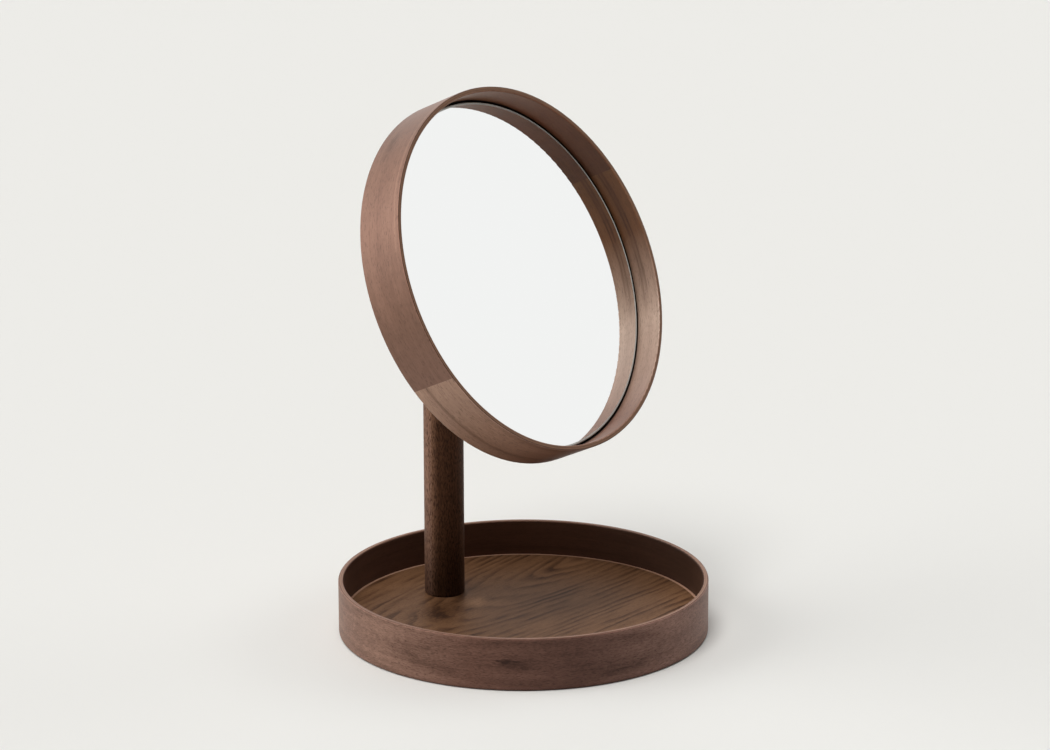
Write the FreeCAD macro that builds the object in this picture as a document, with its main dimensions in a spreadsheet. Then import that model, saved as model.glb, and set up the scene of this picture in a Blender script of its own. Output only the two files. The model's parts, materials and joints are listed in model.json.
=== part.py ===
import FreeCAD, Part
import os
import Sketcher

# A round dressing-table mirror on a tray, in millimetres. Two hoops of bent walnut laminate
# are the same moulding: one lies flat and holds the tray's floor, the other is tilted and holds
# the back panel and the glass. A round post stands on the floor behind the mirror and carries
# it on a steel ball, which a flanged cup and a screwed ring hold through a nylon seat.
# +Z is up, the mirror faces -Y, and the origin is on the table under the tray's centre.

doc = FreeCAD.newDocument("tray_mirror")
sheet = doc.addObject("Spreadsheet::Sheet", "sizes")

driving_sizes = [
    ("hoop_diameter", 330, "outside of both hoops"),
    ("hoop_depth", 47, "width of the bent strip"),
    ("hoop_wall", 4.5, "laminate thickness"),
    ("hoop_rounding", 1.2, "softened edges of the laminate"),
    ("rebate_depth", 1.5, "step cut inside a hoop for its board"),
    ("hoop_lift", 0.5, "gap between the tray's hoop and the table"),
    ("glue_gap", 0.05, "radial gap of a board in its rebate"),
    ("foot_height", 3, "rubber foot, from the table to the floor board"),
    ("foot_diameter", 14, "rubber feet"),
    ("foot_inset", 22, "foot's axis inside the hoop's wall"),
    ("foot_count", 4, "feet spaced evenly in a circle"),
    ("foot_rounding", 0.6, "lower edge of a foot"),
    ("floor_thickness", 12, "tray floor board"),
    ("post_diameter", 36, "turned post"),
    ("post_offset", 90, "post's axis behind the tray's centre"),
    ("post_above_ball", 16, "post's top above the ball's centre"),
    ("post_rounding", 1.5, "both ends of the post"),
    ("dowel_diameter", 6, "beech dowels that stop the post turning"),
    ("dowel_in_floor", 5, "dowel below the post"),
    ("dowel_in_post", 14, "dowel above the post's foot"),
    ("dowel_spacing", 25, "between the two dowels' axes"),
    ("end_gap", 0.25, "left free at the blind end of a dowel or a screw"),
    ("bore_spare", 2, "bore past the end of the bolt or the stud"),
    ("thread_diameter", 8, "M8 bolt and stud, threads drawn plain"),
    ("thread_gap", 0.05, "radial gap in threads and drilled fits"),
    ("insert_diameter", 12, "brass screw-in inserts"),
    ("insert_flange_diameter", 15, "flange of the insert in the post's foot"),
    ("insert_flange_height", 1.2, "sunk flush with the post's foot"),
    ("foot_insert_length", 22, "insert that takes the bolt"),
    ("stud_insert_length", 18, "insert that takes the ball stud"),
    ("bolt_length", 35, "under the head"),
    ("bolt_head_diameter", 14, "button head"),
    ("bolt_head_height", 4.4, "button head"),
    ("bolt_head_rounding", 3, "button head"),
    ("bolt_socket", 5, "hexagon, across flats"),
    ("bolt_socket_depth", 2.6, "hexagon key socket"),
    ("bolt_recess", 0.5, "bolt head above the board's underside"),
    ("bolt_hole_diameter", 9, "through the floor board"),
    ("washer_diameter", 16, "washer under the bolt's head"),
    ("washer_thickness", 1.6, "washer under the bolt's head"),
    ("washer_hole", 8.4, "both washers"),
    ("counterbore_gap", 1, "radial, round the washer"),
    ("ball_height", 308, "ball's centre above the table"),
    ("ball_reach", 46, "ball's centre in front of the post's axis"),
    ("ball_diameter", 22, "steel ball"),
    ("neck_diameter", 8, "between the ball and the hexagon"),
    ("neck_fillet", 1.5, "root of the neck on the hexagon"),
    ("hexagon_across", 14, "stud's spanner flats"),
    ("hexagon_thickness", 5, "stud's spanner flats"),
    ("shank_chamfer", 0.6, "lead-in at the tip of the thread"),
    ("shank_length", 21, "stud's thread past the hexagon"),
    ("stud_washer_diameter", 16, "between the hexagon and the post"),
    ("stud_washer_thickness", 1.2, "between the hexagon and the post"),
    ("spot_gap", 0.4, "radial, round the stud's washer"),
    ("spot_margin", 0.3, "depth of the spot face past the round of the post"),
    ("tilt", 25.4, "mirror's face above level, degrees"),
    ("glass_recess", 25, "glass behind the hoop's front edge"),
    ("glass_thickness", 4, "float glass"),
    ("glass_gap", 2.2, "open gap all round the glass"),
    ("glass_arris", 0.8, "ground edge of the glass"),
    ("tape_thickness", 1, "foam mirror tape"),
    ("tape_width", 19, "one strip"),
    ("tape_spacing", 82, "between the strips' centre lines"),
    ("tape_margin", 18, "ends of the tape inside the glass's edge"),
    ("panel_thickness", 9, "back panel board"),
    ("panel_chamfer", 0.5, "rear edge of the back panel"),
    ("ball_standoff", 24, "ball's centre behind the back panel"),
    ("seat_wall", 2.4, "nylon seat"),
    ("seat_gap", 0.1, "radial running gap on both faces of the seat"),
    ("seat_width", 12, "belt of the seat along its axis"),
    ("seat_split", 1.5, "slot that lets the seat spring over the ball"),
    ("spigot_wall", 1.9, "threaded end of the cup round its hollow"),
    ("spigot_end", 1, "spigot past the ball's centre"),
    ("shoulder_height", 9, "where the spigot meets the barrel"),
    ("shoulder_step", 1.5, "barrel outside the spigot, radial"),
    ("cup_relief_diameter", 16, "recess in the cup's face on the panel"),
    ("cup_roof", 3, "metal between the hollow and the relief"),
    ("flange_thickness", 3, "cup's flange on the panel"),
    ("flange_margin", 1.5, "flange past the screw heads"),
    ("ring_wall", 3, "ring outside the thread"),
    ("ring_slack", 0.5, "thread left for tightening the ring"),
    ("ring_chamfer", 0.6, "ring's edges"),
    ("flange_rounding", 0.6, "flange's rear edge"),
    ("lip_angle", 65, "half of the ring's opening, seen from the ball's centre, degrees"),
    ("lip_thickness", 2.25, "lip along the ring's axis"),
    ("lip_flare", 1.5, "mouth wider than the lip, radial"),
    ("grip_count", 24, "flutes round the ring"),
    ("grip_diameter", 2, "one flute"),
    ("grip_depth", 0.5, "one flute"),
    ("lock_screw_diameter", 3, "grub screw that locks the ring"),
    ("lock_screw_height", 4.5, "in front of the ball's centre"),
    ("lock_screw_socket", 1.5, "hexagon, across flats"),
    ("lock_screw_socket_depth", 1.2, "hexagon key socket"),
    ("lock_screw_sunk", 0.7, "below the ring's outside"),
    ("wood_screw_diameter", 3.5, "screws through the flange"),
    ("wood_screw_head", 7, "countersunk head, across"),
    ("wood_screw_length", 11, "from the head's face to the tip"),
    ("wood_screw_point", 2.5, "length of the point"),
    ("wood_screw_tip", 0.6, "blunt end of the point, across"),
    ("wood_screw_count", 4, "screws in a circle"),
    ("wood_screw_access", 3, "between the ring and a screw head"),
]

for row, (alias, size, meaning) in enumerate(driving_sizes, start=1):
    sheet.set("A%d" % row, alias)
    sheet.set("B%d" % row, str(size))
    sheet.setAlias("B%d" % row, alias)
    sheet.set("C%d" % row, meaning)
doc.recompute()

# Places and sizes that follow from the sheet, as expressions for sketches and features.
hoop_radius = "(sizes.hoop_diameter / 2)"
bore_radius = "(sizes.hoop_diameter / 2 - sizes.hoop_wall)"
rebate_radius = "(sizes.hoop_diameter / 2 - sizes.hoop_wall + sizes.rebate_depth)"
board_radius = "(%s - sizes.glue_gap)" % rebate_radius
floor_top = "(sizes.foot_height + sizes.floor_thickness)"
post_radius = "(sizes.post_diameter / 2)"
post_top = "(sizes.ball_height + sizes.post_above_ball)"
thread_radius = "(sizes.thread_diameter / 2)"
thread_bore = "(sizes.thread_diameter / 2 + sizes.thread_gap)"
insert_radius = "(sizes.insert_diameter / 2)"
counterbore_depth = "(sizes.bolt_recess + sizes.bolt_head_height + sizes.washer_thickness)"
washer_bottom = "(sizes.foot_height + sizes.bolt_recess + sizes.bolt_head_height)"

spot_radius = "(sizes.stud_washer_diameter / 2 + sizes.spot_gap)"
spot_depth = "(%s - sqrt(%s ^ 2 - %s ^ 2) + sizes.spot_margin)" % (post_radius, post_radius, spot_radius)
stud_seat = "(sizes.ball_reach - %s + %s)" % (post_radius, spot_depth)
hexagon_end = "(%s - sizes.stud_washer_thickness)" % stud_seat
hexagon_start = "(%s - sizes.hexagon_thickness)" % hexagon_end

panel_rear = "sizes.ball_standoff"
panel_front = "(sizes.ball_standoff + sizes.panel_thickness)"
glass_rear = "(%s + sizes.tape_thickness)" % panel_front
glass_front = "(%s + sizes.glass_thickness)" % glass_rear
mirror_hoop_front = "(%s + sizes.glass_recess)" % glass_front
mirror_hoop_back = "(%s - sizes.hoop_depth)" % mirror_hoop_front
glass_radius = "(%s - sizes.glass_gap)" % bore_radius

ball_radius = "(sizes.ball_diameter / 2)"
seat_inside = "(%s + sizes.seat_gap)" % ball_radius
seat_outside = "(%s + sizes.seat_wall)" % seat_inside
hollow_radius = "(%s + sizes.seat_gap)" % seat_outside
spigot_radius = "(%s + sizes.spigot_wall)" % hollow_radius
barrel_radius = "(%s + sizes.shoulder_step)" % spigot_radius
ring_radius = "(%s + sizes.ring_wall)" % spigot_radius
lip_radius = "(%s * sin(sizes.lip_angle))" % hollow_radius
lip_height = "(-%s * cos(sizes.lip_angle))" % hollow_radius
ring_rear = "(%s - sizes.lip_thickness)" % lip_height
ring_front = "(sizes.shoulder_height - sizes.ring_slack)"
flange_rear = "(sizes.ball_standoff - sizes.flange_thickness)"
screw_circle = "(%s + sizes.wood_screw_access + sizes.wood_screw_head / 2)" % ring_radius
flange_radius = "(%s + sizes.wood_screw_head / 2 + sizes.flange_margin)" % screw_circle


def value(expression):
    return float(sheet.evalExpression(str(expression)))


def new_body(label):
    body = doc.addObject("PartDesign::Body", label)
    body.Label = label
    return body


def origin_feature(body, role):
    return [feature for feature in body.Origin.OriginFeatures if feature.Role == role][0]


def new_sketch(body, name, role="XY_Plane", offset="0"):
    sketch = body.newObject("Sketcher::SketchObject", name)
    sketch.AttachmentSupport = [(origin_feature(body, role), "")]
    sketch.MapMode = "FlatFace"
    sketch.setExpression("AttachmentOffset.Base.z", offset)
    return sketch


def tie(sketch, kind, geometry, point, expression):
    """Hold one coordinate of a point at an expression of the sheet."""
    distance = value(expression)
    if abs(distance) < 1e-9:
        axis = -2 if kind == "DistanceX" else -1
        sketch.addConstraint(Sketcher.Constraint("PointOnObject", geometry, point, axis))
        return
    index = sketch.addConstraint(Sketcher.Constraint(kind, -1, 1, geometry, point, distance))
    sketch.setExpression("Constraints[%d]" % index, str(expression))


def add_outline(sketch, corners):
    """Draw a closed run of straight edges through corners given as pairs of expressions."""
    first = sketch.GeometryCount
    count = len(corners)
    places = [FreeCAD.Vector(value(x), value(y), 0) for x, y in corners]
    for i in range(count):
        sketch.addGeometry(Part.LineSegment(places[i], places[(i + 1) % count]), False)
    for i in range(count):
        following = first + (i + 1) % count
        sketch.addConstraint(Sketcher.Constraint("Coincident", first + i, 2, following, 1))
    for i, (x, y) in enumerate(corners):
        tie(sketch, "DistanceX", first + i, 1, x)
        tie(sketch, "DistanceY", first + i, 1, y)


def add_circle(sketch, x, y, radius):
    centre = FreeCAD.Vector(value(x), value(y), 0)
    circle = Part.Circle(centre, FreeCAD.Vector(0, 0, 1), value(radius))
    index = sketch.addGeometry(circle, False)
    tie(sketch, "DistanceX", index, 3, x)
    tie(sketch, "DistanceY", index, 3, y)
    rule = sketch.addConstraint(Sketcher.Constraint("Radius", index, value(radius)))
    sketch.setExpression("Constraints[%d]" % rule, str(radius))


def check_change(body, before, grows):
    doc.recompute()
    change = body.Shape.Volume - before
    if (change > 0) != grows or abs(change) < 1e-6:
        raise SystemExit("%s: %s changed nothing or went the wrong way" % (body.Label, body.Tip.Label))


def revolve(body, name, corners):
    """Turn an outline of radius and height about the body's Z axis."""
    sketch = new_sketch(body, name + "_outline", "XZ_Plane")
    add_outline(sketch, corners)
    feature = body.newObject("PartDesign::Revolution", name)
    feature.Profile = sketch
    feature.ReferenceAxis = (sketch, ["V_Axis"])
    feature.Angle = 360
    doc.recompute()
    return feature


def pad(body, sketch, name, length, backwards=False):
    """Grow along the sketch's normal, or against it when backwards."""
    feature = body.newObject("PartDesign::Pad", name)
    feature.Profile = sketch
    feature.setExpression("Length", length)
    feature.Reversed = backwards
    doc.recompute()
    return feature


def pocket(body, sketch, name, depth, upwards=False):
    """Cut against the sketch's normal, or along it when upwards."""
    doc.recompute()
    before = body.Shape.Volume
    feature = body.newObject("PartDesign::Pocket", name)
    feature.Profile = sketch
    feature.setExpression("Length", depth)
    feature.Reversed = upwards
    check_change(body, before, grows=False)
    return feature


def primitive(body, kind, name, across="0", height="0", **sizes):
    """Add or cut a PartDesign primitive that stands along the body's Z axis."""
    before = body.Shape.Volume if body.Tip else 0
    feature = body.newObject("PartDesign::" + kind, name)
    for size, expression in sizes.items():
        feature.setExpression(size, expression)
    feature.setExpression("Placement.Base.x", across)
    feature.setExpression("Placement.Base.z", height)
    check_change(body, before, grows=kind.startswith("Additive"))
    return feature


def circle_edges(body, wanted):
    """Names of the circular edges at the given pairs of radius and height."""
    names = []
    pairs = [(value(radius), value(height)) for radius, height in wanted]
    for number, edge in enumerate(body.Tip.Shape.Edges, start=1):
        if edge.Degenerated or not isinstance(edge.Curve, Part.Circle):
            continue
        for radius, height in pairs:
            same_radius = abs(edge.Curve.Radius - radius) < 1e-4
            if same_radius and abs(edge.Curve.Center.z - height) < 1e-4:
                names.append("Edge%d" % number)
    if len(names) < len(pairs):
        raise SystemExit("%s: an edge to dress was not found" % body.Label)
    return names


def dress(body, kind, name, edges, size):
    """Fillet or chamfer edges of the body's tip."""
    base = body.Tip
    feature = body.newObject("PartDesign::" + kind, name)
    feature.Base = (base, edges)
    feature.setExpression("Radius" if kind == "Fillet" else "Size", size)
    doc.recompute()
    return feature


def repeat_round(body, features, name, count):
    """Repeat features in a full circle about the body's Z axis."""
    pattern = body.newObject("PartDesign::PolarPattern", name)
    pattern.Originals = features
    pattern.Axis = (origin_feature(body, "Z_Axis"), [""])
    pattern.Angle = 360
    pattern.setExpression("Occurrences", count)
    body.Tip = pattern
    doc.recompute()
    return pattern


def place(body, x="0", y="0", z="0", axis=(0, 0, 1), turn="0"):
    body.Placement = FreeCAD.Placement(FreeCAD.Vector(0, 0, 0), FreeCAD.Rotation(FreeCAD.Vector(axis), 1))
    body.setExpression("Placement.Base.x", x)
    body.setExpression("Placement.Base.y", y)
    body.setExpression("Placement.Base.z", z)
    body.setExpression("Placement.Rotation.Angle", turn)
    doc.recompute()


def place_on_post(body, height):
    place(body, y="sizes.post_offset", z=height)


def place_along_stud(body):
    """Ball's centre at the body's origin, its Z axis level and running back into the post."""
    place(body, y="sizes.post_offset - sizes.ball_reach", z="sizes.ball_height", axis=(1, 0, 0), turn="-90")


def place_on_mirror(body):
    """Ball's centre at the body's origin, its Z axis square to the glass and facing out."""
    place(body, y="sizes.post_offset - sizes.ball_reach", z="sizes.ball_height",
          axis=(1, 0, 0), turn="90 - sizes.tilt")


def make_hoop(label, bottom, shoulder):
    """Bent hoop with a rebate from its bottom edge up to the shoulder that its board meets."""
    body = new_body(label)
    top = "(%s + sizes.hoop_depth)" % bottom
    revolve(body, "bent_strip", [
        (rebate_radius, bottom),
        (hoop_radius, bottom),
        (hoop_radius, top),
        (bore_radius, top),
        (bore_radius, shoulder),
        (rebate_radius, shoulder),
    ])
    edges = circle_edges(body, [(hoop_radius, bottom), (hoop_radius, top), (bore_radius, top)])
    dress(body, "Fillet", "softened_edges", edges, "sizes.hoop_rounding")
    return body


def make_tray_floor():
    """Veneered board with a counterbored bolt hole and two dowel sockets under the post."""
    body = new_body("tray_floor")
    outline = new_sketch(body, "board_outline")
    add_circle(outline, "0", "0", board_radius)
    pad(body, outline, "board", "sizes.floor_thickness")
    bolt_hole = new_sketch(body, "bolt_hole_centre")
    add_circle(bolt_hole, "0", "sizes.post_offset", "sizes.bolt_hole_diameter / 2")
    pocket(body, bolt_hole, "bolt_hole", "sizes.floor_thickness", upwards=True)
    recess = new_sketch(body, "washer_recess_outline")
    add_circle(recess, "0", "sizes.post_offset", "sizes.washer_diameter / 2 + sizes.counterbore_gap")
    pocket(body, recess, "washer_recess", counterbore_depth, upwards=True)
    sockets = new_sketch(body, "dowel_socket_centres", offset="sizes.floor_thickness")
    for side in ("-", ""):
        x = side + "sizes.dowel_spacing / 2"
        add_circle(sockets, x, "sizes.post_offset", "sizes.dowel_diameter / 2 + sizes.thread_gap")
    pocket(body, sockets, "dowel_sockets", "sizes.dowel_in_floor + sizes.end_gap")
    place(body, z="sizes.foot_height")
    return body


def make_rubber_feet():
    """Rubber feet stuck under the floor board, a little taller than the hoop's lift."""
    body = new_body("rubber_feet")
    body.AllowCompound = True
    radius = "(%s - sizes.foot_inset)" % bore_radius
    outline = new_sketch(body, "foot_outline")
    add_circle(outline, radius, "0", "sizes.foot_diameter / 2")
    pillar = pad(body, outline, "foot", "sizes.foot_height")
    edges = circle_edges(body, [("sizes.foot_diameter / 2", "0")])
    edge = dress(body, "Fillet", "foot_edge", edges, "sizes.foot_rounding")
    repeat_round(body, [pillar, edge], "feet_in_a_circle", "sizes.foot_count")
    place(body, axis=(0, 0, 1), turn="180 / sizes.foot_count")
    return body


def make_post():
    """Solid turned post, bored at its foot for the bolt and near its top for the ball stud."""
    body = new_body("post")
    length = "(%s - %s)" % (post_top, floor_top)
    outline = new_sketch(body, "post_outline")
    add_circle(outline, "0", "0", post_radius)
    pad(body, outline, "turned_length", length)
    edges = circle_edges(body, [(post_radius, "0"), (post_radius, length)])
    dress(body, "Fillet", "rounded_ends", edges, "sizes.post_rounding")

    bore = new_sketch(body, "foot_bore_centre")
    add_circle(bore, "0", "0", insert_radius + " + sizes.thread_gap")
    depth = "%s + sizes.bolt_length - %s + sizes.bore_spare" % (washer_bottom, floor_top)
    pocket(body, bore, "foot_bore", depth, upwards=True)
    seat = new_sketch(body, "insert_flange_seat_centre")
    add_circle(seat, "0", "0", "sizes.insert_flange_diameter / 2 + sizes.thread_gap")
    pocket(body, seat, "insert_flange_seat", "sizes.insert_flange_height", upwards=True)
    sockets = new_sketch(body, "dowel_socket_centres")
    for side in ("-", ""):
        add_circle(sockets, side + "sizes.dowel_spacing / 2", "0",
                   "sizes.dowel_diameter / 2 + sizes.thread_gap")
    pocket(body, sockets, "dowel_sockets", "sizes.dowel_in_post + sizes.end_gap", upwards=True)

    ball_level = "(sizes.ball_height - %s)" % floor_top
    spot = new_sketch(body, "stud_spot_face_centre", "XZ_Plane", offset=post_radius)
    add_circle(spot, "0", ball_level, spot_radius)
    pocket(body, spot, "stud_spot_face", spot_depth)
    cross = new_sketch(body, "stud_bore_centre", "XZ_Plane", offset=post_radius)
    add_circle(cross, "0", ball_level, insert_radius + " + sizes.thread_gap")
    pocket(body, cross, "stud_bore", "%s + sizes.shank_length + sizes.bore_spare" % spot_depth)
    place_on_post(body, floor_top)
    return body


def make_post_dowels():
    body = new_body("post_dowels")
    body.AllowCompound = True
    outline = new_sketch(body, "dowel_centres")
    for side in ("-", ""):
        add_circle(outline, side + "sizes.dowel_spacing / 2", "0", "sizes.dowel_diameter / 2")
    pad(body, outline, "dowels", "sizes.dowel_in_floor + sizes.dowel_in_post")
    place_on_post(body, floor_top + " - sizes.dowel_in_floor")
    return body


def make_post_foot_insert():
    """Flanged brass insert in the foot of the post."""
    body = new_body("post_foot_insert")
    flange = "(sizes.insert_flange_diameter / 2)"
    revolve(body, "turned_insert", [
        (thread_bore, "0"),
        (flange, "0"),
        (flange, "sizes.insert_flange_height"),
        (insert_radius, "sizes.insert_flange_height"),
        (insert_radius, "sizes.foot_insert_length"),
        (thread_bore, "sizes.foot_insert_length"),
    ])
    place_on_post(body, floor_top)
    return body


def make_post_bolt():
    """Button-head bolt that pulls the post down on the floor board."""
    body = new_body("post_bolt")
    head_radius = "(sizes.bolt_head_diameter / 2)"
    primitive(body, "AdditiveCylinder", "head", Radius=head_radius, Height="sizes.bolt_head_height")
    edges = circle_edges(body, [(head_radius, "0")])
    dress(body, "Fillet", "button_round", edges, "sizes.bolt_head_rounding")
    primitive(body, "AdditiveCylinder", "shank", height="sizes.bolt_head_height",
              Radius=thread_radius, Height="sizes.bolt_length")
    primitive(body, "SubtractivePrism", "hexagon_socket",
              Circumradius="sizes.bolt_socket / sqrt(3)", Height="sizes.bolt_socket_depth")
    place_on_post(body, "sizes.foot_height + sizes.bolt_recess")
    return body


def make_washer(label, diameter, thickness):
    body = new_body(label)
    outline = new_sketch(body, "washer_outline")
    add_circle(outline, "0", "0", diameter + " / 2")
    add_circle(outline, "0", "0", "sizes.washer_hole / 2")
    pad(body, outline, "stamped_washer", thickness)
    return body


def make_stud_insert():
    """Plain brass insert across the post for the ball stud's thread."""
    body = new_body("stud_insert")
    end = "(%s + sizes.stud_insert_length)" % stud_seat
    revolve(body, "turned_insert", [
        (thread_bore, stud_seat),
        (insert_radius, stud_seat),
        (insert_radius, end),
        (thread_bore, end),
    ])
    place_along_stud(body)
    return body


def make_ball_stud():
    """Steel ball on a neck, with spanner flats and a thread that screws into the post."""
    body = new_body("ball_stud")
    neck_radius = "(sizes.neck_diameter / 2)"
    hexagon_corner = "(sizes.hexagon_across / sqrt(3))"
    primitive(body, "AdditiveSphere", "ball", Radius=ball_radius)
    primitive(body, "AdditiveCylinder", "neck", Radius=neck_radius, Height=hexagon_start)
    primitive(body, "AdditivePrism", "hexagon", height=hexagon_start,
              Circumradius=hexagon_corner, Height="sizes.hexagon_thickness")
    root = circle_edges(body, [(neck_radius, hexagon_start)])
    dress(body, "Fillet", "neck_root", root, "sizes.neck_fillet")
    primitive(body, "AdditiveCylinder", "shank", height=hexagon_end,
              Radius=thread_radius, Height="sizes.shank_length")
    tip = circle_edges(body, [(thread_radius, hexagon_end + " + sizes.shank_length")])
    dress(body, "Chamfer", "shank_tip", tip, "sizes.shank_chamfer")
    place_along_stud(body)
    return body


def make_back_panel():
    """Veneered board glued in the mirror's hoop, drilled for the cup's screws."""
    body = new_body("back_panel")
    outline = new_sketch(body, "panel_outline", offset=panel_rear)
    add_circle(outline, "0", "0", board_radius)
    pad(body, outline, "board", "sizes.panel_thickness")
    edges = circle_edges(body, [(board_radius, panel_rear)])
    dress(body, "Chamfer", "eased_edge", edges, "sizes.panel_chamfer")
    pilot = new_sketch(body, "pilot_hole_centre", offset=panel_rear)
    add_circle(pilot, screw_circle, "0", "sizes.wood_screw_diameter / 2 + sizes.thread_gap")
    depth = "sizes.wood_screw_length - sizes.flange_thickness + sizes.end_gap"
    hole = pocket(body, pilot, "pilot_hole", depth, upwards=True)
    repeat_round(body, [hole], "pilot_holes", "sizes.wood_screw_count")
    place_on_mirror(body)
    return body


def make_mounting_tape():
    """Upright strips of foam tape between the panel and the glass."""
    body = new_body("mounting_tape")
    body.AllowCompound = True
    outline = new_sketch(body, "strips", offset=panel_front)
    reach = "(%s - sizes.tape_margin)" % glass_radius
    for column in (-1, 0, 1):
        left = "(%d * sizes.tape_spacing - sizes.tape_width / 2)" % column
        right = "(%d * sizes.tape_spacing + sizes.tape_width / 2)" % column
        outer = "(%d * sizes.tape_spacing + sizes.tape_width / 2)" % abs(column)
        half = "sqrt(%s ^ 2 - %s ^ 2)" % (reach, outer)
        add_outline(outline, [(left, "-" + half), (right, "-" + half), (right, half), (left, half)])
    pad(body, outline, "tape", "sizes.tape_thickness")
    place_on_mirror(body)
    return body


def make_mirror_glass():
    body = new_body("mirror_glass")
    outline = new_sketch(body, "glass_outline", offset=glass_rear)
    add_circle(outline, "0", "0", glass_radius)
    pad(body, outline, "float_glass", "sizes.glass_thickness")
    edges = circle_edges(body, [(glass_radius, glass_front), (glass_radius, glass_rear)])
    dress(body, "Chamfer", "ground_edge", edges, "sizes.glass_arris")
    place_on_mirror(body)
    return body


def make_ball_seat():
    """Split nylon belt between the ball and the cup, round on both faces."""
    body = new_body("ball_seat")
    half_angle = "asin(sizes.seat_width / 2 / %s)" % seat_outside
    primitive(body, "AdditiveSphere", "belt", Radius=seat_outside,
              Angle1="-" + half_angle, Angle2=half_angle)
    primitive(body, "SubtractiveSphere", "ball_face", Radius=seat_inside)
    split = new_sketch(body, "split_outline", offset="sizes.seat_width / 2")
    half_split = "(sizes.seat_split / 2)"
    add_outline(split, [("-" + half_split, "0"), (half_split, "0"),
                        (half_split, seat_outside), ("-" + half_split, seat_outside)])
    pocket(body, split, "split", "sizes.seat_width")
    place_on_mirror(body)
    return body


def make_socket_cup():
    """Flanged cup with a round hollow for the seat and a threaded spigot for the ring."""
    body = new_body("socket_cup")
    relief_radius = "(sizes.cup_relief_diameter / 2)"
    relief_floor = "(%s + sizes.cup_roof)" % hollow_radius
    revolve(body, "turned_cup", [
        ("0", "-sizes.spigot_end"),
        (spigot_radius, "-sizes.spigot_end"),
        (spigot_radius, "sizes.shoulder_height"),
        (barrel_radius, "sizes.shoulder_height"),
        (barrel_radius, flange_rear),
        (flange_radius, flange_rear),
        (flange_radius, panel_rear),
        (relief_radius, panel_rear),
        (relief_radius, relief_floor),
        ("0", relief_floor),
    ])
    primitive(body, "SubtractiveSphere", "hollow", Radius=hollow_radius)
    primitive(body, "SubtractiveCylinder", "hollow_mouth", height="-sizes.spigot_end",
              Radius=hollow_radius, Height="sizes.spigot_end")
    edges = circle_edges(body, [(flange_radius, flange_rear)])
    dress(body, "Fillet", "flange_edge", edges, "sizes.flange_rounding")
    screw_hole = new_sketch(body, "screw_hole_centre", offset=flange_rear)
    add_circle(screw_hole, screw_circle, "0", "sizes.wood_screw_diameter / 2 + sizes.thread_gap")
    hole = pocket(body, screw_hole, "screw_hole", "sizes.flange_thickness", upwards=True)
    edge = circle_edges(body, [("sizes.wood_screw_diameter / 2 + sizes.thread_gap", flange_rear)])
    sink = dress(body, "Chamfer", "countersink", edge,
                 "(sizes.wood_screw_head - sizes.wood_screw_diameter) / 2")
    repeat_round(body, [hole, sink], "screw_holes", "sizes.wood_screw_count")
    place_on_mirror(body)
    return body


def make_cap_ring():
    """Fluted ring that screws on the cup and traps the seat behind its lip."""
    body = new_body("cap_ring")
    ring_bore = "(%s + sizes.thread_gap)" % spigot_radius
    step = "(-sizes.spigot_end - sizes.thread_gap)"
    revolve(body, "turned_ring", [
        (lip_radius, ring_rear),
        (ring_radius, ring_rear),
        (ring_radius, ring_front),
        (ring_bore, ring_front),
        (ring_bore, step),
        (lip_radius, step),
    ])
    primitive(body, "SubtractiveSphere", "seat_face", Radius=hollow_radius)
    primitive(body, "SubtractiveCone", "flared_mouth", height=ring_rear,
              Radius1="%s + sizes.lip_flare" % lip_radius, Radius2=lip_radius,
              Height="sizes.lip_thickness")
    edges = circle_edges(body, [(ring_radius, ring_rear), (ring_radius, ring_front)])
    dress(body, "Chamfer", "ring_edges", edges, "sizes.ring_chamfer")
    flute_outline = new_sketch(body, "flute_outline", offset=ring_front)
    flute_centre = "(%s + sizes.grip_diameter / 2 - sizes.grip_depth)" % ring_radius
    add_circle(flute_outline, flute_centre, "0", "sizes.grip_diameter / 2")
    flute = pocket(body, flute_outline, "flute", "%s - %s" % (ring_front, ring_rear))
    repeat_round(body, [flute], "flutes", "sizes.grip_count")
    tapped = new_sketch(body, "lock_hole_centre", "XZ_Plane", offset=ring_radius)
    add_circle(tapped, "0", "sizes.lock_screw_height", "sizes.lock_screw_diameter / 2 + sizes.thread_gap")
    pocket(body, tapped, "lock_hole", "sizes.ring_wall")
    place_on_mirror(body)
    return body


def make_ring_lock_screw():
    """Grub screw through the ring's wall, down on the cup's thread."""
    body = new_body("ring_lock_screw")
    outer_end = "(%s - sizes.lock_screw_sunk)" % ring_radius
    outline = new_sketch(body, "screw_outline", "XZ_Plane", offset=outer_end)
    add_circle(outline, "0", "sizes.lock_screw_height", "sizes.lock_screw_diameter / 2")
    pad(body, outline, "screw", "sizes.ring_wall - sizes.lock_screw_sunk", backwards=True)
    socket = new_sketch(body, "socket_outline", "XZ_Plane", offset=outer_end)
    corners = []
    for angle in range(30, 390, 60):
        x = "sizes.lock_screw_socket / sqrt(3) * cos(%d)" % angle
        y = "sizes.lock_screw_height + sizes.lock_screw_socket / sqrt(3) * sin(%d)" % angle
        corners.append((x, y))
    add_outline(socket, corners)
    pocket(body, socket, "socket", "sizes.lock_screw_socket_depth")
    place_on_mirror(body)
    return body


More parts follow.
